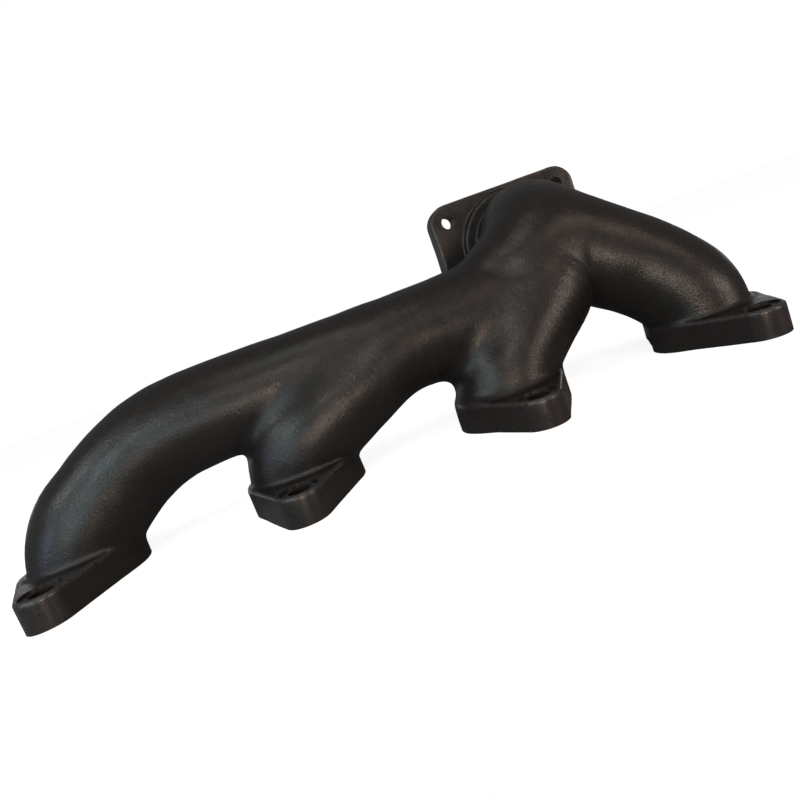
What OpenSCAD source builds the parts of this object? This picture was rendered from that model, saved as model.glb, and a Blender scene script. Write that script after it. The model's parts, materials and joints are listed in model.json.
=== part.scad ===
// Exhaust manifold for a four-cylinder engine, cast in one piece of grey iron.
// The casting is drawn as its named regions, which meet face to face.
// Origin: middle of the row of ports, on the machined face that bolts to the cylinder head.
// +X runs along the row from port 1 to port 4, +Y towards the turbocharger, +Z away from the head.

/* [Ports] */
// Distance from one port to the next
port_pitch = 120; // [116:1:128]
// Diameter of each round port in the head face
port_d = 42; // [36:1:42]
// Thickness of a port flange
flange_t = 15; // [12:0.5:16]
// Diameter of the round middle of a port flange
flange_d = 60.5; // [58:0.5:70]
// Distance between the two bolt holes of a port flange
port_bolt_gap = 92; // [88:1:100]
// Diameter of the round ear around each port bolt hole
ear_d = 23; // [22:0.5:26]
// Diameter of a port bolt hole
port_bolt_d = 11; // [9:0.5:12]
// Diameter of the machined seat under a port bolt head
seat_d = 19; // [16:0.5:21]
// Depth of the machined seat
seat_depth = 1; // [0.5:0.25:2]

/* [Turbocharger flange] */
// Width of the plate along the manifold
plate_w = 105; // [100:1:112]
// Height of the plate
plate_h = 78; // [76:1:84]
// Thickness of the plate
plate_t = 14; // [12:0.5:18]
// Radius of the plate's corners
plate_corner = 13; // [8:0.5:16]
// Diameter of the gas outlet
outlet_d = 44; // [40:1:44]
// Distance between the plate's bolt holes along the manifold
plate_bolt_x = 80; // [76:1:82]
// Distance between the plate's bolt holes up the plate
plate_bolt_z = 54; // [52:1:56]
// Diameter of the plate's bolt holes
plate_bolt_d = 9; // [8:0.5:11]

/* [Pipes] */
// Added to the outer radius of every pipe
skin = 0; // [-0.5:0.25:1]
// Radius of the round collar that meets the turbocharger flange
collar_r = 35.5; // [32:0.5:38]
// Number of sides of a pipe
sides = 32; // [24:4:40]
// Number of straight pieces between two stations of a pipe
steps = 2; // [1:1:3]

/* [Hidden] */
$fn = 96;

cast_iron = [0.21, 0.19, 0.18];
flange_iron = [0.24, 0.215, 0.2];

// Place of the turbocharger flange: middle of its pipe side
plate_x = 121;
plate_y = 90;
plate_z = 89;

// Port centres along X
port_x = [for (i = [0:3]) (i - 1.5) * port_pitch];

// Planes that divide the casting into its regions
elbow_end_x = -118;
collector_start_x = 26;
feet_top_z = 28;
foot_3_end_x = 125;
runner_4_start_x = 148;
neck_start_y = 66;
// Reach of a cutting block, larger than the whole casting
reach = 600;

// Stations of each pipe: x, y, z of its centre line, outer radius, passage radius.
// Pipe 1: port 1, the long elbow, the log, and into the collector
main_stations = [
    [port_x[0] + 2.5, 0, 0, 27.6, port_d / 2],
    [port_x[0] + 3.6, 0, 15, 27.6, 21.3],
    [-168.6, 0, 28, 27.2, 21.5],
    [-155.8, 1, 38, 26.2, 21],
    [-141.5, 3, 47.3, 26, 20.8],
    [-123, 5, 54.7, 26.1, 20.8],
    [-100, 6, 57.8, 26.1, 20.8],
    [-50, 7, 58.2, 25.8, 20.5],
    [0, 8, 58, 25.8, 20.5],
    [36, 10, 56.2, 27.6, 21.5],
    [70, 14, 59, 27.8, 22],
    [98, 20, 66, 28, 23]
];
// Pipe 2: port 2, leaning along the row into the log
branch_stations = [
    [port_x[1] + 0.8, 0, 0, 28, port_d / 2],
    [port_x[1] + 0.8, 0, 15, 28, 21.5],
    [-54.5, -2, 25, 27.5, 22],
    [-43.5, -3.5, 33.3, 26.2, 21],
    [-28, -2.5, 40.2, 25.2, 20.3],
    [-10, 0, 47, 24, 19.5],
    [8, 4, 54, 23, 19],
    [24, 8, 58, 22.5, 18.5]
];
// Pipe 3: port 3, up through the dome of the collector, and over to the turbocharger flange
riser_stations = [
    [port_x[2] - 1.5, 0, 0, 29, port_d / 2],
    [port_x[2] - 1, 0, 9, 29.2, 21.5],
    [61, 0, 19, 27.8, 22],
    [69.5, 1, 30.5, 26.3, 21.6],
    [83.5, 5.5, 43, 26.8, 22],
    [99.5, 13, 57, 29, 24],
    [110.5, 24, 71, 30, 24.5],
    [115, 37, 87, 30.2, 24.5],
    [118.5, 53, 93, 28.6, 23.5],
    [120.5, 72, 91, 27.5, 22],
    [plate_x, 84, plate_z, 27.5, 22],
    [plate_x, 98, plate_z, 27.5, 22]
];
// Pipe 4: port 4, falling from the dome
fall_stations = [
    [port_x[3] - 3.2, 0, 0, 27.4, port_d / 2],
    [port_x[3] - 3.2, 0, 15, 27.4, 21.3],
    [174, 1.5, 27, 27.5, 22],
    [166, 5, 38.8, 27.5, 22],
    [154.5, 10, 50.8, 28, 22.5],
    [141, 14.5, 61.5, 29, 23],
    [127, 19, 71.8, 29.6, 24],
    [111, 22, 78, 29.5, 24],
    [90, 18, 68, 27.5, 22.5]
];

function unit(v) = v / norm(v);

// A smooth curve through stations a, b, c, d, at t from 0 to 1 between b and c
function spline(a, b, c, d, t) =
    0.5 * (2 * b + (c - a) * t + (2 * a - 5 * b + 4 * c - d) * t * t
        + (3 * b - a - 3 * c + d) * t * t * t);

// Stations with one more at each end, mirrored through the end station
function extended(s) = concat(
    [2 * s[0] - s[1]], s, [2 * s[len(s) - 1] - s[len(s) - 2]]);

// The pipe's stations with extra ones between them
function smooth(s) = let (e = extended(s)) concat(
    [for (i = [1:len(e) - 3], k = [0:steps - 1])
        spline(e[i - 1], e[i], e[i + 1], e[i + 2], k / steps)],
    [s[len(s) - 1]]);

function place(station) = [station[0], station[1], station[2]];

// Direction of the centre line at station i
function heading(s, i) = unit(place(s[min(i + 1, len(s) - 1)]) - place(s[max(i - 1, 0)]));

// Circle of points around station i, turned so that its first point is level with side_axis
function ring(s, i, r, side_axis) =
    let (ahead = heading(s, i))
    let (across = unit(cross(ahead, side_axis)))
    let (over = cross(ahead, across))
    [for (k = [0:sides - 1])
        place(s[i]) + r * (cos(360 * k / sides) * across + sin(360 * k / sides) * over)];

// A pipe as a row of convex pieces, each between two rings; column 3 holds the outer radius
// of a station and column 4 the radius of its passage
module pipe(stations, column, grow, side_axis) {
    s = smooth(stations);
    rings = [for (i = [0:len(s) - 1]) ring(s, i, s[i][column] + grow, side_axis)];
    for (i = [0:len(s) - 2])
        hull()
            polyhedron(
                points = concat(rings[i], rings[i + 1]),
                faces = concat(
                    [[for (k = [0:sides - 1]) k]],
                    [[for (k = [sides - 1:-1:0]) sides + k]],
                    [for (k = [0:sides - 1])
                        [k, sides + k, sides + (k + 1) % sides, (k + 1) % sides]]));
}

module main_pipe() {
    pipe(main_stations, 3, skin, [0, 1, 0]);
}

module branch_pipe() {
    pipe(branch_stations, 3, skin, [0, 1, 0]);
}

module riser_pipe() {
    pipe(riser_stations, 3, skin, [1, 0, 0]);
}

module fall_pipe() {
    pipe(fall_stations, 3, skin, [0, 1, 0]);
}

// All the gas passages at once
module passages() {
    pipe(main_stations, 4, 0, [0, 1, 0]);
    pipe(branch_stations, 4, 0, [0, 1, 0]);
    pipe(riser_stations, 4, 0, [1, 0, 0]);
    pipe(fall_stations, 4, 0, [0, 1, 0]);
}

// The box of space between two corners
module space(low, high) {
    translate(low)
        cube(high - low);
}

// The outside of the four joined pipes
module joined_pipes() {
    main_pipe();
    branch_pipe();
    riser_pipe();
    fall_pipe();
}

// The hollow casting between two corners of space
module casting_between(low, high) {
    color(cast_iron)
        difference() {
            intersection() {
                joined_pipes();
                space(low, high);
            }
            passages();
        }
}

// Outline of a port flange: a round middle and two ears, joined by tangent sides
module flange_outline() {
    middle_r = flange_d / 2;
    ear_r = ear_d / 2;
    ear_y = port_bolt_gap / 2;
    lean = asin((middle_r - ear_r) / ear_y);
    middle_touch = middle_r * [cos(lean), sin(lean)];
    ear_touch = [0, ear_y] + ear_r * [cos(lean), sin(lean)];
    circle(r = middle_r);
    for (side = [-1, 1])
        translate([0, side * ear_y])
            circle(r = ear_r);
    polygon([
        [middle_touch[0], -middle_touch[1]],
        middle_touch,
        ear_touch,
        [-ear_touch[0], ear_touch[1]],
        [-middle_touch[0], middle_touch[1]],
        -middle_touch,
        -ear_touch,
        [ear_touch[0], -ear_touch[1]]
    ]);
}

// Flange that bolts to the head around one port
module port_flange(number) {
    color(flange_iron)
        translate([port_x[number - 1], 0, 0])
            difference() {
                linear_extrude(flange_t)
                    flange_outline();
                translate([0, 0, -1])
                    cylinder(h = flange_t + 2, d = port_d);
                for (side = [-1, 1])
                    translate([0, side * port_bolt_gap / 2, 0]) {
                        translate([0, 0, -1])
                            cylinder(h = flange_t + 2, d = port_bolt_d);
                        translate([0, 0, flange_t - seat_depth])
                            cylinder(h = seat_depth + 1, d = seat_d);
                    }
            }
}

// Long elbow that rises from port 1 and turns along the row
module runner_1() {
    casting_between([-reach, -reach, flange_t], [elbow_end_x, reach, reach]);
}

// Foot of the branch that leans from port 2 into the log pipe
module runner_2() {
    casting_between([elbow_end_x, -reach, flange_t], [collector_start_x, reach, feet_top_z]);
}

// Foot of the riser over port 3
module runner_3() {
    casting_between([collector_start_x, -reach, flange_t], [foot_3_end_x, reach, feet_top_z]);
}

// Pipe that falls from the collector to port 4
module runner_4() {
    casting_between([runner_4_start_x, -reach, flange_t], [reach, neck_start_y, reach]);
}

// Straight pipe over ports 1 to 3, with the branch of port 2 running into it
module log_pipe() {
    casting_between([elbow_end_x, -reach, feet_top_z], [collector_start_x, reach, reach]);
}

// Dome where the four runners meet
module collector() {
    casting_between([collector_start_x, -reach, feet_top_z], [runner_4_start_x, neck_start_y, reach]);
    casting_between([foot_3_end_x, -reach, flange_t], [runner_4_start_x, neck_start_y, feet_top_z]);
}

// Throat between the dome and the turbocharger flange, with a round collar against the flange
module turbo_neck() {
    collar_t = 5;
    casting_between([-reach, neck_start_y, flange_t], [reach, plate_y, reach]);
    color(cast_iron)
        difference() {
            translate([plate_x, plate_y, plate_z])
                rotate([90, 0, 0])
                    cylinder(h = collar_t, r = collar_r);
            passages();
        }
}

// Plate with rounded corners that the turbocharger bolts to
module turbo_flange() {
    color(flange_iron)
        translate([plate_x, plate_y, plate_z])
            rotate([90, 0, 0])
                mirror([0, 0, 1])
                    difference() {
                        linear_extrude(plate_t)
                            plate_outline();
                        translate([0, 0, -1])
                            cylinder(h = plate_t + 2, d = outlet_d);
                        for (i = [-1, 1], j = [-1, 1])
                            translate([i * plate_bolt_x / 2, j * plate_bolt_z / 2, -1])
                                cylinder(h = plate_t + 2, d = plate_bolt_d);
                    }
}

// Rectangle with round corners
module plate_outline() {
    square([plate_w - 2 * plate_corner, plate_h], center = true);
    square([plate_w, plate_h - 2 * plate_corner], center = true);
    for (i = [-1, 1], j = [-1, 1])
        translate([i * (plate_w / 2 - plate_corner), j * (plate_h / 2 - plate_corner)])
            circle(r = plate_corner);
}

port_flange(1);  // port_flange_1
port_flange(2);  // port_flange_2
port_flange(3);  // port_flange_3
port_flange(4);  // port_flange_4
runner_1();
runner_2();
runner_3();
runner_4();
log_pipe();
collector();
turbo_neck();
turbo_flange();
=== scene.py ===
# %% [markdown]
# # A cast-iron exhaust manifold
#
# The real object is a single casting: four oval flanges that bolt to a cylinder head, four pipes that
# rise from them and run together, and an upright plate that carries a turbocharger. Nothing moves and
# nothing is screwed on. What makes it look real is how softly its pipes flow into each other, how the
# few machined faces stay crisp, and the grain that the sand mould leaves on everything else.
#
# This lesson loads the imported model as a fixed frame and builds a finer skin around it.

# %% Load the frame
import json
import math

import bmesh
import bpy
import numpy as np
from mathutils import Matrix, Vector


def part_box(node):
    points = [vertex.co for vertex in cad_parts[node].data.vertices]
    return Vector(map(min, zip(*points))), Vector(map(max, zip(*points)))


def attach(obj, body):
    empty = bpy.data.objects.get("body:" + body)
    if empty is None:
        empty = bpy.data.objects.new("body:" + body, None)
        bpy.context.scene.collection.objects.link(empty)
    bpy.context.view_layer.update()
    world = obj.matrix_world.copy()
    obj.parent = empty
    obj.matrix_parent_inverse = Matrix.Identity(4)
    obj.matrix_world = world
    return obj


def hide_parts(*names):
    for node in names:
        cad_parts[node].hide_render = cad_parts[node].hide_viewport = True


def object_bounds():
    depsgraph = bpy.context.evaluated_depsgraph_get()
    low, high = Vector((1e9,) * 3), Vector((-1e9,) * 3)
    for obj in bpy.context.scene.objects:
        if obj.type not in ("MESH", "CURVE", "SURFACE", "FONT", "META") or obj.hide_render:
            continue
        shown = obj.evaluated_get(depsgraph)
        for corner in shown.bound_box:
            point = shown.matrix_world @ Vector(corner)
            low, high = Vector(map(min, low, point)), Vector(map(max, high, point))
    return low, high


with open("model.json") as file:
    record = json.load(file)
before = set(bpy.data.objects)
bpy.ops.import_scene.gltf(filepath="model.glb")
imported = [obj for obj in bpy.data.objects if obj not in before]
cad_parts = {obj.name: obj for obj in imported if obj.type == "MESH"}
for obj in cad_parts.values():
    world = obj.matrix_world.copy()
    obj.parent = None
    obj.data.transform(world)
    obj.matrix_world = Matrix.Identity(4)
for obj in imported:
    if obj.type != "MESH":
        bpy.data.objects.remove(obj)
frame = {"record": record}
cad_box = [list(corner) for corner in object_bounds()]
MM = 0.001
mounts = {mount["name"]: mount for mount in frame["record"]["mounts"]}
print("CAD box in metres:", cad_box)

# %% [markdown]
# ## Driving dimensions
#
# All shaping is done in millimetres, because that is how a foundry drawing is written, and each mesh is
# scaled to metres once, at its end. The ports, the bolt holes and the turbocharger plate are read from
# the frame, so that the skin can never drift away from the model that it dresses.

# %% Ports, bolts and plate, in millimetres
port_x = [1000 * mounts[f"port_{i}"]["pos_m"][0] for i in (1, 2, 3, 4)]
port_r = mounts["port_1"]["dims"]["r_mm"]
flange_top = 1000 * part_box("port_flange_1")[1].z
ear_y = mounts["head_bolts_inner"]["dims"]["spacing_y_mm"] / 2
bolt_r = mounts["head_bolts_inner"]["dims"]["hole_r_mm"]
middle_r = 500 * (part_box("port_flange_1")[1].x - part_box("port_flange_1")[0].x)
ear_r = 1000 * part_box("port_flange_1")[1].y - ear_y
plate_low = 1000 * np.array(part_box("turbo_flange")[0])
plate_high = 1000 * np.array(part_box("turbo_flange")[1])
plate_middle = (plate_low + plate_high) / 2
outlet_r = mounts["turbo_outlet"]["dims"]["r_mm"]
print("ports at x =", port_x, "flange", flange_top, "mm thick, ears of radius", ear_r)

# %% [markdown]
# ## Camera, floor and light
#
# The object stands on its four port faces on a pale floor. The camera is low, close and tilted, so the
# row of flanges climbs from the lower left to the right. Dark satin iron shows its form through
# reflections and not through its own colour, so the lights matter more than the paint. Cool lamps on the
# left give each left flank its bluish stripe, warm lamps in front and on the right give the brown one,
# three lamps above show the tops of the pipes, and two weak ones behind keep the back from going black.

# %% Camera
camera_data = bpy.data.cameras.new("camera")
camera_data.sensor_width = 36
camera_data.lens = 27.86
camera_data.shift_x = -0.0021
camera_data.shift_y = -0.0246
camera = bpy.data.objects.new("camera", camera_data)
bpy.context.scene.collection.objects.link(camera)
bpy.context.scene.camera = camera

camera_right = Vector((0.9294, -0.1304, -0.3453)).normalized()
camera_back = Vector((-0.0924, -0.9879, 0.1244)).normalized()
camera_up = camera_back.cross(camera_right)
camera_place = Vector((-0.0247, -0.3272, 0.0797))
camera.matrix_world = Matrix.Translation(camera_place) @ Matrix(
    (camera_right, camera_up, camera_back)).transposed().to_4x4()
print("camera looks along", [round(-v, 3) for v in camera_back])


# %% Floor, lamps and surroundings
def floor_finish(seen, felt, glow):
    """A matt floor. The eye sees it evenly pale. Light that goes on to the iron meets it as a darker
    floor, which keeps the undersides of the pipes deep."""
    material = bpy.data.materials.new("floor")
    material.use_nodes = True
    nodes, links = material.node_tree.nodes, material.node_tree.links
    shader = nodes["Principled BSDF"]
    shader.inputs["Roughness"].default_value = 0.9
    shader.inputs["Specular IOR Level"].default_value = 0
    shader.inputs["Emission Color"].default_value = (1, 1, 1, 1)
    path = nodes.new("ShaderNodeLightPath")
    mix = nodes.new("ShaderNodeMix")
    mix.data_type = "RGBA"
    mix.inputs["A"].default_value = (felt, felt, felt, 1)
    mix.inputs["B"].default_value = (seen, seen, seen, 1)
    strength = nodes.new("ShaderNodeMath")
    strength.operation = "MULTIPLY"
    strength.inputs[1].default_value = glow
    links.new(path.outputs["Is Camera Ray"], mix.inputs["Factor"])
    links.new(path.outputs["Is Camera Ray"], strength.inputs[0])
    links.new(mix.outputs["Result"], shader.inputs["Base Color"])
    links.new(strength.outputs["Value"], shader.inputs["Emission Strength"])
    return material


FLOOR_GAP = 0.0003


def add_floor(radius):
    """A flat round floor: rings of points, as a surface of turn angle and distance. It lies a hair under
    the machined faces, because two faces in one plane flicker."""
    turn = np.linspace(0, 2 * np.pi, 96, endpoint=False)
    out = np.array([0.01, 0.5, 2, radius])
    points = np.stack([
        np.outer(out, np.cos(turn)), np.outer(out, np.sin(turn)),
        np.full((len(out), len(turn)), -FLOOR_GAP)], axis=-1).reshape(-1, 3)
    columns = len(turn)
    corner = np.arange((len(out) - 1) * columns).reshape(-1, columns)
    beside = np.roll(corner, -1, axis=1)
    faces = np.stack([corner, corner + columns, beside + columns, beside], axis=-1).reshape(-1, 4)
    mesh = bpy.data.meshes.new("floor")
    mesh.from_pydata(points.tolist(), [], faces.tolist() + [list(range(columns))])
    floor = bpy.data.objects.new("floor", mesh)
    bpy.context.scene.collection.objects.link(floor)
    mesh.materials.append(floor_finish(seen=0.8, felt=0.3, glow=0.87))


def add_lamp(name, place, size, power, colour):
    """A large rectangular soft lamp that faces the middle of the casting."""
    data = bpy.data.lights.new(name, "AREA")
    data.shape = "RECTANGLE"
    data.size, data.size_y = size
    data.energy = power
    data.color = colour
    lamp = bpy.data.objects.new(name, data)
    lamp.location = place
    towards = Vector((0.0, 0.02, 0.05)) - Vector(place)
    lamp.rotation_euler = towards.to_track_quat("-Z", "Y").to_euler()
    bpy.context.scene.collection.objects.link(lamp)


def add_surroundings(seen, felt):
    """A plain sky: pale where the eye sees it, and dim where it lights the iron."""
    world = bpy.data.worlds.new("surroundings")
    bpy.context.scene.world = world
    world.use_nodes = True
    nodes, links = world.node_tree.nodes, world.node_tree.links
    path = nodes.new("ShaderNodeLightPath")
    mix = nodes.new("ShaderNodeMix")
    mix.data_type = "RGBA"
    mix.inputs["A"].default_value = (felt, felt, felt, 1)
    mix.inputs["B"].default_value = (seen, seen, seen, 1)
    links.new(path.outputs["Is Camera Ray"], mix.inputs["Factor"])
    links.new(mix.outputs["Result"], nodes["Background"].inputs["Color"])


add_floor(radius=40)
add_lamp("cool_front", (-0.46, -0.98, 0.09), (0.22, 0.22), 1.15, (0.66, 0.92, 1.0))
add_lamp("cool_near", (-0.3, -0.33, 0.24), (0.1, 0.12), 0.28, (0.71, 0.92, 1.0))
add_lamp("cool_low", (-0.34, -0.28, 0.08), (0.1, 0.12), 0.09, (0.75, 0.88, 1.0))
add_lamp("cool_left", (-0.5, -0.2, 0.12), (0.1, 0.15), 0.18, (0.55, 0.72, 1.0))
add_lamp("cool_high", (-0.82, -0.36, 0.68), (0.3, 0.22), 1.3, (0.85, 0.96, 1.0))
add_lamp("warm_right", (0.84, -0.69, 0.09), (0.4, 0.22), 2.1, (1.0, 0.85, 0.77))
add_lamp("warm_front", (0.23, -1.05, 0.09), (0.22, 0.22), 0.45, (1.0, 0.82, 0.78))
add_lamp("warm_low", (0.0, -0.6, 0.02), (0.1, 0.12), 1.0, (1.0, 0.8, 0.66))
add_lamp("high_front", (0.0, -0.88, 0.68), (0.22, 0.22), 1.1, (1.0, 0.98, 0.92))
add_lamp("high_right", (0.64, -0.62, 0.68), (0.22, 0.22), 0.85, (1.0, 0.74, 0.64))
add_lamp("top", (0.0, -0.36, 1.08), (0.3, 0.3), 0.8, (0.94, 1.0, 0.94))
add_lamp("behind_left", (-0.7, 0.9, 0.08), (0.5, 0.12), 0.2, (0.95, 0.97, 1.0))
add_lamp("behind_right", (0.85, 0.75, 0.08), (0.5, 0.12), 0.2, (1.0, 0.96, 0.92))
add_surroundings(seen=1.0, felt=0.14)
bpy.context.scene.view_settings.view_transform = "Standard"
print("stage ready")

# %% [markdown]
# ## The pipes as routes
#
# A founder thinks of a manifold as cores: sand snakes that become the gas passages, with about five
# millimetres of iron around each. Each pipe here is a route of stations, each with a place, an outer
# radius and a passage radius. A Catmull-Rom curve through the stations fills in the rest, so that six
# to twelve stations describe a pipe that bends smoothly.


# %% Routes
def smooth_route(stations, steps):
    """Catmull-Rom curve: between stations b and c, each column is a cubic in t whose slope at b is
    half of c - a and whose slope at c is half of d - b."""
    s = np.asarray(stations, float)
    s = np.vstack([2 * s[0] - s[1], s, 2 * s[-1] - s[-2]])
    t = np.linspace(0, 1, steps, endpoint=False)[:, None]
    a, b, c, d = (s[i:len(s) - 3 + i, None, :] for i in range(4))
    curve = 0.5 * (2 * b + (c - a) * t + (2 * a - 5 * b + 4 * c - d) * t**2
                   + (3 * b - a - 3 * c + d) * t**3)
    return np.vstack([curve.reshape(-1, s.shape[1]), s[-2:-1]])


plate_x, plate_y, plate_z = plate_middle[0], plate_low[1], plate_middle[2]
main_route = smooth_route([
    [port_x[0] + 2.2, 0, -6, 27.6, port_r],
    [port_x[0] + 3.6, 0, 14, 27.6, port_r],
    [-168.6, 0, 28, 27.2, 21.5],
    [-155.8, 1, 38, 26.2, 21],
    [-141.5, 3, 47.3, 26, 20.8],
    [-123, 5, 54.7, 26.1, 20.8],
    [-100, 6, 57.8, 26.1, 20.8],
    [-50, 7, 58.2, 25.8, 20.5],
    [0, 8, 58, 25.8, 20.5],
    [36, 10, 56.2, 27.6, 21.5],
    [70, 14, 59, 27.8, 22],
    [98, 20, 66, 28, 23]], 6)
branch_route = smooth_route([
    [port_x[1] + 0.8, 0, -6, 28, port_r],
    [port_x[1] + 0.8, 0, 14, 28, port_r],
    [-54.5, -2, 25, 27.5, 22],
    [-43.5, -3.5, 33.3, 26.2, 21],
    [-28, -2.5, 40.2, 25.2, 20.3],
    [-10, 0, 47, 24, 19.5],
    [8, 4, 54, 23, 19],
    [24, 8, 58, 22.5, 18.5]], 6)
riser_route = smooth_route([
    [port_x[2] - 2, 0, -6, 29, port_r],
    [port_x[2] - 1.5, 0, 7, 29.3, 21.5],
    [61, 0, 19, 27.8, 22],
    [69.5, 1, 30.5, 26.3, 21.6],
    [83.5, 5.5, 43, 26.8, 22],
    [99.5, 13, 57, 29, 24],
    [110.5, 24, 71, 30, 24.5],
    [115, 37, 87, 30.2, 24.5],
    [118.5, 53, 93, 28.6, 23.5],
    [120.5, 72, 91, 27.5, outlet_r],
    [plate_x, plate_y - 6, plate_z, 27.5, outlet_r],
    [plate_x, plate_y + 20, plate_z, 27.5, outlet_r]], 6)
fall_route = smooth_route([
    [port_x[3] - 3.2, 0, -6, 27.4, port_r],
    [port_x[3] - 3.2, 0, 14, 27.4, port_r],
    [174, 1.5, 27, 27.5, 22],
    [166, 5, 38.8, 27.5, 22],
    [154.5, 10, 50.8, 28, 22.5],
    [141, 14.5, 61.5, 29, 23],
    [127, 19, 71.8, 29.6, 24],
    [111, 22, 78, 29.5, 24],
    [90, 18, 68, 27.5, 22.5]], 6)
print("main route has", len(main_route), "points")

# %% [markdown]
# ## The casting as a field of distances
#
# Four pipes could be four swept surfaces, but where they meet, the real casting has fillets of ten
# millimetres, and a swept surface has no fillet. So the casting is first described as a field: at
# every point of a fine lattice, the distance to the iron's skin, negative inside the iron. Two shapes
# join by a smooth minimum, which rounds the corner between them, and a hollow is cut by taking the
# larger of the field and the passage's own distance turned round. Each is one line on whole arrays.

# %% The lattice
LATTICE = 1.0
margin = 5
low_corner = 1000 * np.array(cad_box[0]) - margin
high_corner = 1000 * np.array(cad_box[1]) + margin
axes = [np.arange(low, high, LATTICE, dtype=np.float32) for low, high in zip(low_corner, high_corner)]
shape = tuple(len(axis) for axis in axes)
FAR = np.float32(60)
print("lattice", shape, "=", int(np.prod(shape)) // 1000, "thousand points")


# %% Distances
def window(low, high):
    """The slices of the lattice that hold the box from low to high, and its coordinates there."""
    cut = tuple(
        slice(*np.searchsorted(axis, (a, b))) for axis, a, b in zip(axes, low, high))
    x, y, z = (axis[s] for axis, s in zip(axes, cut))
    return cut, x[:, None, None], y[None, :, None], z[None, None, :]


def pipe_distance(route, column, reach):
    """Distance to a pipe, worked out up to reach outside it: for each straight step of the route, the
    distance from a point to the nearest place on the step, less the radius there."""
    field = np.full(shape, FAR, np.float32)
    for a, b in zip(route[:-1], route[1:]):
        grow = max(a[column], b[column]) + reach
        cut, x, y, z = window(np.minimum(a[:3], b[:3]) - grow, np.maximum(a[:3], b[:3]) + grow)
        step = (b[:3] - a[:3]).astype(np.float32)
        x, y, z = x - a[0], y - a[1], z - a[2]
        along = np.clip((x * step[0] + y * step[1] + z * step[2]) / (step @ step), 0, 1)
        off = np.sqrt((x - along * step[0])**2 + (y - along * step[1])**2 + (z - along * step[2])**2)
        near = off - (a[column] + along * (b[column] - a[column]))
        np.minimum(field[cut], near.astype(np.float32), out=field[cut])
    return field


def smooth_minimum(a, b, blend):
    """The smaller of a and b, eased where they are within blend of each other, which adds a fillet."""
    share = np.clip(0.5 + 0.5 * (b - a) / blend, 0, 1)
    return b + (a - b) * share - blend * share * (1 - share)


def rounded_slab(outline, across, half, edge):
    """A flat slab: outline is the distance to its plan, and across the distance from its middle
    plane. Both shrink by the edge radius and the result grows by it, which rounds the rim."""
    side, face = outline + edge, np.abs(across) - half + edge
    outside = np.sqrt(np.maximum(side, 0)**2 + np.maximum(face, 0)**2)
    return outside + np.minimum(np.maximum(side, face), 0) - edge


def flange_plan(x, y):
    """Distance to the oval of a port flange: a middle circle and two ear circles with straight
    sides that touch both. A point belongs to the circle or the side that it lies abreast of."""
    x, y = np.abs(x), np.abs(y)
    rise = (middle_r - ear_r) / ear_y
    run = math.sqrt(1 - rise * rise)
    abreast = y * run - x * rise
    side = x * run + y * rise - middle_r
    distance = np.where(abreast < 0, np.hypot(x, y) - middle_r, side)
    return np.where(abreast > run * ear_y, np.hypot(x, y - ear_y) - ear_r, distance)


def plate_plan(x, z, half_x, half_z, corner):
    """Distance to a rectangle with round corners."""
    x, z = np.abs(x) - half_x + corner, np.abs(z) - half_z + corner
    return np.hypot(np.maximum(x, 0), np.maximum(z, 0)) + np.minimum(np.maximum(x, z), 0) - corner


# %% Join the pipes and flanges
EDGE = 1.4
BELOW = 3
pipe_blend = 11
reach = 14
main = pipe_distance(main_route, 3, reach)
branch = pipe_distance(branch_route, 3, reach)
riser = pipe_distance(riser_route, 3, reach)
fall = pipe_distance(fall_route, 3, reach)

height = axes[2][None, None, :]
dome_share = np.clip((height - 56) / 36, 0, 1)
crease_blend = 1.8 + 13 * dome_share * dome_share * (3 - 2 * dome_share)
iron = smooth_minimum(main, branch, 7)
iron = smooth_minimum(iron, riser, pipe_blend)
iron = smooth_minimum(iron, fall, crease_blend)

slabs = np.full(shape, FAR, np.float32)
for x in port_x:
    cut, gx, gy, gz = window((x - 50, -90, -20), (x + 50, 90, 40))
    slab = rounded_slab(
        flange_plan(gx - x, gy), gz - (flange_top - BELOW) / 2, (flange_top + BELOW) / 2, EDGE)
    np.minimum(slabs[cut], slab.astype(np.float32), out=slabs[cut])
PLATE_CORNER = 13
half = (plate_high - plate_low) / 2
cut, gx, gy, gz = window(plate_low - 20, plate_high + 20)
slab = rounded_slab(
    plate_plan(gx - plate_middle[0], gz - plate_middle[2], half[0], half[2], PLATE_CORNER),
    gy - plate_middle[1] - BELOW / 2, half[1] + BELOW / 2, EDGE)
np.minimum(slabs[cut], slab.astype(np.float32), out=slabs[cut])
across, deep = axes[0][:, None, None], axes[1][None, :, None]
bare_side = np.exp(-((across - port_x[2] + 18)**2 + (deep + 10)**2) / 22**2)
foot_blend = 3.2 + 6 * bare_side
iron = smooth_minimum(iron, slabs, foot_blend)

COLLAR_R, COLLAR_T = 35.5, 5
cut, gx, gy, gz = window(
    (plate_x - 60, plate_y - 20, plate_z - 60), (plate_x + 60, plate_y + 20, plate_z + 60))
collar = rounded_slab(
    np.hypot(gx - plate_x, gz - plate_z) - COLLAR_R, gy - plate_y, COLLAR_T, 0.9)
iron[cut] = smooth_minimum(iron[cut], collar, 1.6)
del main, branch, riser, fall, slabs
print("deepest iron:", float(iron.min()), "mm")

# %% Hollow it out
gas = pipe_distance(main_route, 4, 3)
for route in (branch_route, riser_route, fall_route):
    gas = np.minimum(gas, pipe_distance(route, 4, 3))
field = np.maximum(iron, -gas).astype(np.float32)
del iron, gas

# %% [markdown]
# ## From field to skin
#
# The skin lies where the field passes through zero. The method is called surface nets: each lattice
# cell that the skin passes through gets one point, at the average of the places where the skin
# crosses the cell's edges, and each lattice edge that the skin crosses gets one face, between the
# four cells around it. It gives even quadrilaterals with no needles, and works on whole arrays.


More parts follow.
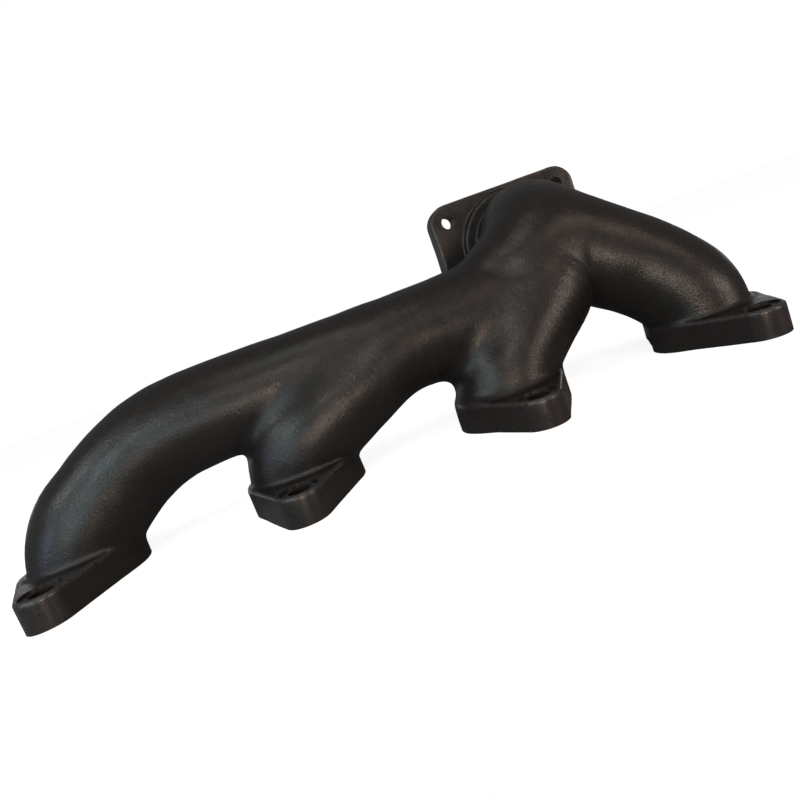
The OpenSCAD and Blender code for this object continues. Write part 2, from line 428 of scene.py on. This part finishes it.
# %% Surface nets
def surface_net(values, origin):
    """Points and quadrilaterals of the zero surface of a block of the field."""
    inside = values < 0
    n = [s - 1 for s in values.shape]
    corners = sum(
        inside[i:n[0] + i, j:n[1] + j, k:n[2] + k].astype(np.int8)
        for i in (0, 1) for j in (0, 1) for k in (0, 1))
    mixed = (corners > 0) & (corners < 8)
    cells = np.argwhere(mixed)
    number = np.full(mixed.shape, -1, np.int64)
    number[mixed] = np.arange(len(cells))
    total, count = np.zeros((len(cells), 3)), np.zeros(len(cells))
    for axis in range(3):
        unit = np.eye(3, dtype=int)[axis]
        others = [a for a in range(3) if a != axis]
        for u in (0, 1):
            for v in (0, 1):
                start = np.zeros(3, int)
                start[others[0]], start[others[1]] = u, v
                a = values[tuple((cells + start).T)]
                b = values[tuple((cells + start + unit).T)]
                crossed = (a < 0) != (b < 0)
                share = np.where(crossed, a / np.where(crossed, a - b, 1), 0)
                total += crossed[:, None] * (cells + start + share[:, None] * unit)
                count += crossed
    points = np.asarray(origin) + LATTICE * total / count[:, None]
    quads = []
    for axis in range(3):
        u, v = [(1, 2), (2, 0), (0, 1)][axis]
        first = np.take(inside, range(values.shape[axis] - 1), axis)
        second = np.take(inside, range(1, values.shape[axis]), axis)
        keep = first != second
        for other in (u, v):
            index = [slice(None)] * 3
            for end in (0, keep.shape[other] - 1):
                index[other] = end
                keep[tuple(index)] = False
        at = np.argwhere(keep)
        back_u, back_v = np.eye(3, dtype=int)[u], np.eye(3, dtype=int)[v]
        ring = [number[tuple((at - shift).T)] for shift in (back_u + back_v, back_v, 0 * back_u, back_u)]
        faces = np.stack(ring, axis=1)
        outward = first[tuple(at.T)]
        quads.append(np.where(outward[:, None], faces, faces[:, ::-1]))
    return points, np.concatenate(quads)


# %% [markdown]
# ## Unevenness of a sand casting
#
# No cast wall is a perfect tube. Sand settles, pattern halves wear, and the result wanders by a few
# tenths of a millimetre over a few centimetres. That wander is real geometry here, because it bends
# the long highlights. It is a seeded lattice of random heights with smooth steps between them.


# %% Wander and the true normal
random_heights = np.random.default_rng(11).uniform(-1, 1, (32, 32, 32))


def wander(points, wavelength):
    """Smooth noise from -1 to 1: random heights on a lattice, eased between its eight corners."""
    p = points / wavelength + 100
    base = np.floor(p).astype(int)
    f = p - base
    f = f * f * (3 - 2 * f)
    result = 0
    for i in (0, 1):
        for j in (0, 1):
            for k in (0, 1):
                corner = random_heights[tuple(((base + (i, j, k)) % 32).T)]
                weight = (np.abs(1 - i - f[:, 0]) * np.abs(1 - j - f[:, 1]) * np.abs(1 - k - f[:, 2]))
                result = result + weight * corner
    return result


def unevenness(points):
    """Height of the cast skin over the drawn one, in millimetres."""
    return 0.28 * wander(points, 21) + 0.12 * wander(points + 7, 8)


def field_at(points):
    """The field between lattice points, blended from the eight around each place."""
    p = (points - [axis[0] for axis in axes]) / LATTICE
    p = np.clip(p, 0, np.array(shape) - 1.001)
    base = p.astype(int)
    f = p - base
    result = 0
    for i in (0, 1):
        for j in (0, 1):
            for k in (0, 1):
                weight = (np.abs(1 - i - f[:, 0]) * np.abs(1 - j - f[:, 1]) * np.abs(1 - k - f[:, 2]))
                result = result + weight * field[tuple((base + (i, j, k)).T)]
    return result


def slope(function, points, step):
    """Gradient of a function of place, from its values a step to either side along each axis."""
    return np.stack([
        (function(points + step * unit) - function(points - step * unit)) / (2 * step)
        for unit in np.eye(3)], axis=1)


def unit_rows(vectors):
    """Each row scaled to length one."""
    return vectors / np.maximum(np.linalg.norm(vectors, axis=1, keepdims=True), 1e-9)


def skin_normal(points):
    """Outward normal of the uneven skin: the field's gradient, tipped by the unevenness's slope."""
    outward = unit_rows(slope(field_at, points, 0.7))
    tip = slope(unevenness, points, 0.5)
    tip -= outward * np.sum(outward * tip, axis=1, keepdims=True)
    return unit_rows(outward - tip)


# %% [markdown]
# ## One closed piece for each region
#
# The casting is split on flat planes at the same places as the model's own regions. Each piece takes
# its own block of the lattice with two cells to spare, so the points along a shared plane are the same
# points on both sides, and then the spare is cut off and the cut is closed with a flat face. The
# machined faces are made by the same cut: that is what leaves their edges sharp while every cast edge
# is round.


# %% Cut and cap
def trimmed_piece(name, low, high, notch=None):
    """The casting between two corners, in millimetres, as a closed mesh. notch is (x, z): where the
    piece lies left of x, everything below z is cut off too."""
    low, high = np.maximum(low, low_corner + 1), np.minimum(high, high_corner - 1)
    spare = 2.5 * LATTICE
    cut, x, y, z = window(low - spare, high + spare)
    points, quads = surface_net(field[cut], (x.flat[0], y.flat[0], z.flat[0]))
    outward = unit_rows(slope(field_at, points, 0.7))
    points = points + outward * unevenness(points)[:, None]
    mesh = bpy.data.meshes.new(name)
    mesh.from_pydata(points.tolist(), [], quads.tolist())
    work = bmesh.new()
    work.from_mesh(mesh)
    planes = [(axis, low[axis], -1) for axis in range(3)] + [(axis, high[axis], 1) for axis in range(3)]
    for axis, place, side in planes:
        cap(work, work.verts[:] + work.edges[:] + work.faces[:], axis, place, side)
    if notch:
        near = [f for f in work.faces if f.calc_center_median().x < notch[0]]
        part = list({v for f in near for v in f.verts}) + list({e for f in near for e in f.edges}) + near
        cap(work, part, 2, notch[1], -1)
    bmesh.ops.scale(work, vec=(MM, MM, MM), verts=work.verts)
    bmesh.ops.remove_doubles(work, verts=work.verts, dist=1e-7)
    work.to_mesh(mesh)
    work.free()
    piece = bpy.data.objects.new(name, mesh)
    bpy.context.scene.collection.objects.link(piece)
    return piece


def cap(work, part, axis, place, side):
    """Cuts away what lies beyond a plane and closes the cut."""
    centre, normal = [0, 0, 0], [0, 0, 0]
    centre[axis], normal[axis] = place, side
    result = bmesh.ops.bisect_plane(
        work, geom=part, dist=1e-5, plane_co=centre, plane_no=normal, clear_outer=True)
    rim = [e for e in result["geom_cut"] if isinstance(e, bmesh.types.BMEdge)]
    if not rim:
        return
    new = bmesh.ops.triangle_fill(work, use_beauty=True, edges=rim, normal=normal)
    for face in new["geom"]:
        if isinstance(face, bmesh.types.BMFace) and face.normal.dot(Vector(normal)) < 0:
            face.normal_flip()


# %% Planes between the regions
FAR_OFF = 1e4
CUT_ABOVE = 1.0


def region_edges(node):
    """Lowest and highest corner of a CAD region, in millimetres."""
    low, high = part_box(node)
    return 1000 * np.array(low), 1000 * np.array(high)


elbow_end = region_edges("log_pipe")[0][0]
dome_start = region_edges("log_pipe")[1][0]
feet_top = region_edges("runner_2")[1][2]
fall_start = region_edges("runner_4")[0][0]
neck_start = region_edges("turbo_neck")[0][1]
flange_cut = flange_top + CUT_ABOVE
plate_cut = plate_low[1] - CUT_ABOVE
foot_3_end = port_x[2] + 65
plate_top = plate_high[1]
print("planes:", elbow_end, dome_start, feet_top, fall_start, neck_start)

regions = {
    "runner_1": ((-FAR_OFF, -FAR_OFF, flange_cut), (elbow_end, FAR_OFF, FAR_OFF)),
    "runner_2": ((elbow_end, -FAR_OFF, flange_cut), (dome_start, FAR_OFF, feet_top)),
    "runner_3": ((dome_start, -FAR_OFF, flange_cut), (foot_3_end, FAR_OFF, feet_top)),
    "runner_4": ((fall_start, -FAR_OFF, flange_cut), (FAR_OFF, neck_start, FAR_OFF)),
    "log_pipe": ((elbow_end, -FAR_OFF, feet_top), (dome_start, FAR_OFF, FAR_OFF)),
    "collector": ((dome_start, -FAR_OFF, flange_cut), (fall_start, neck_start, FAR_OFF)),
    "turbo_neck": ((0, neck_start, flange_cut), (FAR_OFF, plate_cut, FAR_OFF)),
    "turbo_flange": ((0, plate_cut, flange_cut), (FAR_OFF, plate_top, FAR_OFF)),
}
for i, x in enumerate(port_x):
    regions[f"port_flange_{i + 1}"] = ((x - 60, -FAR_OFF, 0), (x + 60, FAR_OFF, flange_cut))

pieces = {}
for name, (low, high) in regions.items():
    notch = (foot_3_end, feet_top) if name == "collector" else None
    pieces[name] = trimmed_piece(name + "_skin", np.array(low, float), np.array(high, float), notch)
    print(name, len(pieces[name].data.polygons), "faces")

# %% [markdown]
# ## Bolt holes and seats
#
# The bolt holes are drilled after casting, and a wider cutter then faces a flat seat for each bolt
# head. A drill's work is crisp, so it is cut here by a boolean with a stepped plug, turned from a
# profile, and not by the field, which would soften it.


# %% Stepped plugs
def turned_plug(name, profile, place, axis):
    """A closed solid turned from a profile of (radius, height) pairs around an axis at place."""
    turn = np.linspace(0, 2 * np.pi, 64, endpoint=False)
    radius, high = np.array(profile, float).T
    ring = np.stack([
        np.outer(radius, np.cos(turn)), np.outer(radius, np.sin(turn)),
        np.outer(high, np.ones_like(turn))], axis=-1).reshape(-1, 3)
    if axis == "y":
        ring = ring[:, [0, 2, 1]] * (-1, 1, 1)
    points = (ring + place) * MM
    rows, columns = len(profile), len(turn)
    corner = np.arange((rows - 1) * columns).reshape(rows - 1, columns)
    beside = np.roll(corner, -1, axis=1)
    sides = np.stack([corner, beside, beside + columns, corner + columns], axis=-1).reshape(-1, 4)
    ends = [list(range(columns))[::-1], list(range((rows - 1) * columns, rows * columns))]
    mesh = bpy.data.meshes.new(name)
    mesh.from_pydata(points.tolist(), [], sides.tolist() + ends)
    plug = bpy.data.objects.new(name, mesh)
    bpy.context.scene.collection.objects.link(plug)
    return plug


def drill(piece, plugs):
    """Cuts plugs out of a piece, and removes them."""
    for plug in plugs:
        cutter = piece.modifiers.new("drill", "BOOLEAN")
        cutter.operation = "DIFFERENCE"
        cutter.solver = "EXACT"
        cutter.object = plug
    bpy.context.view_layer.update()
    done = bpy.data.meshes.new_from_object(piece.evaluated_get(bpy.context.evaluated_depsgraph_get()))
    piece.modifiers.clear()
    piece.data = done
    for plug in plugs:
        bpy.data.objects.remove(plug)


SEAT_R, SEAT_DEPTH, PAST = 9.5, 1.0, 6
seat_profile = [
    (bolt_r, -PAST), (bolt_r, flange_top - SEAT_DEPTH), (SEAT_R, flange_top - SEAT_DEPTH),
    (SEAT_R, flange_top + PAST)]
for i, x in enumerate(port_x):
    plugs = [turned_plug("plug", seat_profile, (x, side * ear_y, 0), "z") for side in (-1, 1)]
    drill(pieces[f"port_flange_{i + 1}"], plugs)

plate_bolts = mounts["turbo_bolts"]["dims"]
hole_profile = [(plate_bolts["hole_r_mm"], -PAST), (plate_bolts["hole_r_mm"], 2 * half[1] + PAST)]
plugs = [
    turned_plug("plug", hole_profile, (
        plate_x + i * plate_bolts["spacing_x_mm"] / 2, plate_low[1],
        plate_z + j * plate_bolts["spacing_y_mm"] / 2), "y")
    for i in (-1, 1) for j in (-1, 1)]
drill(pieces["turbo_flange"], plugs)
print("drilled 8 flange holes with seats and 4 plate holes")

# %% [markdown]
# ## Finish the meshes
#
# The light on a dark smooth casting shows every break in its normals, so each corner of a face gets
# the normal of the skin itself, read from the field, wherever the face follows the skin. Faces that a
# tool cut keep their own flat normals. Two masks are stored with the points for the paint: how sharp
# the skin turns outwards, which is where handling wears it bright, and how deep it lies in an inner
# corner, where the paint darkens it as painted shade and dust makes it rougher.


# %% Normals and masks
def bend_of(points):
    """How fast the field's slope turns: positive on outer edges, negative in inner corners."""
    step = 1.5
    around = sum(field_at(points + s * step * unit) for unit in np.eye(3) for s in (-1, 1))
    return (around - 6 * field_at(points)) / step**2


def finish_mesh(piece):
    """Smooth shading, true normals on the skin, and the edge and corner masks."""
    mesh = piece.data
    count = len(mesh.vertices)
    points = np.empty(count * 3, np.float32)
    mesh.vertices.foreach_get("co", points)
    points = points.reshape(-1, 3) / MM
    normals = skin_normal(points)
    bend = bend_of(points)
    # The corner mask darkens inner corners in the paint: painted shade. It also makes them rougher, as dust
    # does.
    for name, values in (("edge_wear", bend / 0.5), ("corner_shade_and_dust", -bend / 0.12)):
        mask = mesh.attributes.new(name, "FLOAT", "POINT")
        mask.data.foreach_set("value", np.clip(values, 0, 1).astype(np.float32))
    mesh.polygons.foreach_set("use_smooth", np.ones(len(mesh.polygons), bool))
    mesh.set_sharp_from_angle(angle=math.radians(35))
    loops = len(mesh.loops)
    corner_vertex = np.empty(loops, np.int32)
    mesh.loops.foreach_get("vertex_index", corner_vertex)
    sizes = np.empty(len(mesh.polygons), np.int32)
    mesh.polygons.foreach_get("loop_total", sizes)
    face_normal = np.empty(len(mesh.polygons) * 3, np.float32)
    mesh.polygons.foreach_get("normal", face_normal)
    face_normal = np.repeat(face_normal.reshape(-1, 3), sizes, axis=0)
    wanted = normals[corner_vertex]
    follows = np.sum(wanted * face_normal, axis=1) > math.cos(math.radians(32))
    mesh.normals_split_custom_set(np.where(follows[:, None], wanted, 0).tolist())
    return follows.mean()


for name, piece in pieces.items():
    share = finish_mesh(piece)
    print(f"{name}: {share:.0%} of its corners follow the cast skin")

# %% [markdown]
# ## Finishes
#
# Cast iron that has been oiled after casting is nearly black with a brown cast, and satin. Three things
# break up its surface. The grains of the mould leave a fine even pebble of under a millimetre, with
# some deeper pits. The oil dries in soft patches, a few centimetres across, that differ in gloss more
# than in colour. And outer edges are rubbed a little brighter, while inner corners are painted darker,
# as painted shade, and made rougher, as dust makes them.
# The pebble and the patches are node groups, because the pipe skin and the flanges use both with
# different values.


# %% Node groups
def new_group(name, inputs, outputs):
    """An empty shader node group with float inputs and typed outputs."""
    group = bpy.data.node_groups.new(name, "ShaderNodeTree")
    for label, value in inputs:
        socket = group.interface.new_socket(label, in_out="INPUT", socket_type="NodeSocketFloat")
        socket.default_value = value
    for label, kind in outputs:
        group.interface.new_socket(label, in_out="OUTPUT", socket_type=kind)
    return group, group.nodes.new("NodeGroupInput"), group.nodes.new("NodeGroupOutput")


def add_math(tree, operation, a, b):
    """A math node on two values, each a number or an output."""
    node = tree.nodes.new("ShaderNodeMath")
    node.operation = operation
    for socket, value in zip(node.inputs, (a, b)):
        if isinstance(value, (int, float)):
            socket.default_value = value
        else:
            tree.links.new(value, socket)
    return node.outputs["Value"]


def add_noise(tree, vector, scale, detail):
    """Noise of a scale, which may be a number or an output."""
    node = tree.nodes.new("ShaderNodeTexNoise")
    node.inputs["Detail"].default_value = detail
    tree.links.new(vector, node.inputs["Vector"])
    if isinstance(scale, (int, float)):
        node.inputs["Scale"].default_value = scale
    else:
        tree.links.new(scale, node.inputs["Scale"])
    return node.outputs["Fac"]


def add_ramp(tree, value, low, high):
    """The value stretched so that low becomes 0 and high becomes 1, held between them."""
    node = tree.nodes.new("ShaderNodeMapRange")
    node.inputs["From Min"].default_value = low
    node.inputs["From Max"].default_value = high
    tree.links.new(value, node.inputs["Value"])
    return node.outputs["Result"]


def make_sand_grain():
    """Height of the pebble that sand leaves: grains, finer grains between them, and sparse pits."""
    group, given, result = new_group(
        "sand_grain", [("Grains per metre", 900.0), ("Pit depth", 0.5)],
        [("Height", "NodeSocketFloat"), ("Pits", "NodeSocketFloat")])
    place = group.nodes.new("ShaderNodeTexCoord").outputs["Object"]
    size = given.outputs["Grains per metre"]
    grains = add_noise(group, place, size, 3)
    fine = add_noise(group, place, add_math(group, "MULTIPLY", size, 2.7), 1)
    cells = group.nodes.new("ShaderNodeTexVoronoi")
    group.links.new(place, cells.inputs["Vector"])
    group.links.new(add_math(group, "MULTIPLY", size, 0.3), cells.inputs["Scale"])
    near = add_ramp(group, cells.outputs["Distance"], 0.28, 0.1)
    areas = add_noise(group, place, add_math(group, "MULTIPLY", size, 0.12), 1)
    chosen = add_ramp(group, areas, 0.52, 0.62)
    pits = add_math(group, "MULTIPLY", near, chosen)
    height = add_math(group, "ADD", grains, add_math(group, "MULTIPLY", fine, 0.35))
    height = add_math(group, "SUBTRACT", height, add_math(group, "MULTIPLY", pits, given.outputs["Pit depth"]))
    group.links.new(height, result.inputs["Height"])
    group.links.new(pits, result.inputs["Pits"])
    return group


def make_oil_patches():
    """Two masks from 0 to 1: broad patches of dried oil, and small blotches."""
    group, given, result = new_group(
        "oil_patches", [("Patches per metre", 26.0)],
        [("Patches", "NodeSocketFloat"), ("Blotches", "NodeSocketFloat")])
    place = group.nodes.new("ShaderNodeTexCoord").outputs["Object"]
    size = given.outputs["Patches per metre"]
    group.links.new(add_ramp(group, add_noise(group, place, size, 4), 0.35, 0.68), result.inputs["Patches"])
    small = add_noise(group, place, add_math(group, "MULTIPLY", size, 6), 3)
    group.links.new(add_ramp(group, small, 0.42, 0.66), result.inputs["Blotches"])
    return group


sand_grain, oil_patches = make_sand_grain(), make_oil_patches()
print("node groups:", sand_grain.name, oil_patches.name)


# %% Materials
def add_mix(tree, factor, a, b):
    """A colour mix; a and b are colours or outputs."""
    node = tree.nodes.new("ShaderNodeMix")
    node.data_type = "RGBA"
    tree.links.new(factor, node.inputs["Factor"])
    for label, value in (("A", a), ("B", b)):
        if isinstance(value, tuple):
            node.inputs[label].default_value = (*value, 1)
        else:
            tree.links.new(value, node.inputs[label])
    return node.outputs["Result"]


def make_iron(name, dark, brown, rubbed, gloss, grain, depth):
    """Oiled cast iron. dark and brown are the two patch colours, rubbed is the colour of worn edges,
    gloss the range of roughness, grain the number of sand grains per metre, and depth their height in
    metres."""
    material = bpy.data.materials.new(name)
    material.use_nodes = True
    tree = material.node_tree
    shader = tree.nodes["Principled BSDF"]
    sand = tree.nodes.new("ShaderNodeGroup")
    sand.node_tree = sand_grain
    sand.inputs["Grains per metre"].default_value = grain
    patches = tree.nodes.new("ShaderNodeGroup")
    patches.node_tree = oil_patches
    wear = tree.nodes.new("ShaderNodeAttribute")
    wear.attribute_name = "edge_wear"
    shade_and_dust_mask = tree.nodes.new("ShaderNodeAttribute")
    shade_and_dust_mask.attribute_name = "corner_shade_and_dust"
    colour = add_mix(tree, patches.outputs["Patches"], dark, brown)
    rub = add_math(tree, "MULTIPLY", wear.outputs["Fac"], add_ramp(tree, sand.outputs["Height"], 0.45, 0.85))
    colour = add_mix(tree, rub, colour, rubbed)
    # Inner corners are painted darker here: painted shade. The same corner mask also makes them rougher,
    # below, as dust does.
    painted_shade = add_math(tree, "MULTIPLY", shade_and_dust_mask.outputs["Fac"], 0.6)
    colour = add_mix(tree, painted_shade, colour, tuple(0.55 * c for c in dark))
    colour = add_mix(tree, sand.outputs["Pits"], colour, tuple(0.5 * c for c in dark))
    tree.links.new(colour, shader.inputs["Base Color"])
    shader.inputs["Specular Tint"].default_value = (1.0, 0.95, 0.9, 1.0)
    rough = tree.nodes.new("ShaderNodeMapRange")
    rough.inputs["To Min"].default_value, rough.inputs["To Max"].default_value = gloss
    tree.links.new(add_math(tree, "ADD",
                            add_math(tree, "MULTIPLY", patches.outputs["Blotches"], 0.5),
                            add_math(tree, "MULTIPLY", shade_and_dust_mask.outputs["Fac"], 0.5)), rough.inputs["Value"])
    tree.links.new(rough.outputs["Result"], shader.inputs["Roughness"])
    bump = tree.nodes.new("ShaderNodeBump")
    bump.inputs["Strength"].default_value = 1
    bump.inputs["Distance"].default_value = depth
    tree.links.new(sand.outputs["Height"], bump.inputs["Height"])
    tree.links.new(bump.outputs["Normal"], shader.inputs["Normal"])
    return material


cast_skin = make_iron(
    "cast_skin", (0.0105, 0.0095, 0.0088), (0.017, 0.0135, 0.012), (0.045, 0.04, 0.037),
    (0.31, 0.44), 900.0, 0.00014)
flange_skin = make_iron(
    "flange_skin", (0.014, 0.0125, 0.0115), (0.022, 0.017, 0.015), (0.07, 0.062, 0.058),
    (0.27, 0.38), 1100.0, 0.00006)
machined_face = make_iron(
    "machined_face", (0.14, 0.133, 0.126), (0.19, 0.18, 0.168), (0.26, 0.25, 0.24),
    (0.28, 0.38), 2200.0, 0.00001)
machined_face.node_tree.nodes["Principled BSDF"].inputs["Metallic"].default_value = 0.85


def paint(piece, skin):
    """Gives a piece its skin, and the machined finish to the faces that a tool left flat."""
    mesh = piece.data
    mesh.materials.clear()
    mesh.materials.append(skin)
    mesh.materials.append(machined_face)
    count = len(mesh.polygons)
    centre, normal = np.empty(count * 3, np.float32), np.empty(count * 3, np.float32)
    mesh.polygons.foreach_get("center", centre)
    mesh.polygons.foreach_get("normal", normal)
    centre, normal = centre.reshape(-1, 3) / MM, normal.reshape(-1, 3)
    head_side = (centre[:, 2] < 0.01) & (normal[:, 2] < -0.9)
    turbo_side = (centre[:, 1] > plate_top - 0.01) & (normal[:, 1] > 0.9)
    mesh.polygons.foreach_set("material_index", (head_side | turbo_side).astype(np.int32))
    return int((head_side | turbo_side).sum())


for name, piece in pieces.items():
    flat = paint(piece, flange_skin if "flange" in name else cast_skin)
    print(name, "has", flat, "machined faces")

# %% Hand over to the frame
for name, piece in pieces.items():
    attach(piece, "root")
    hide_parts(name)
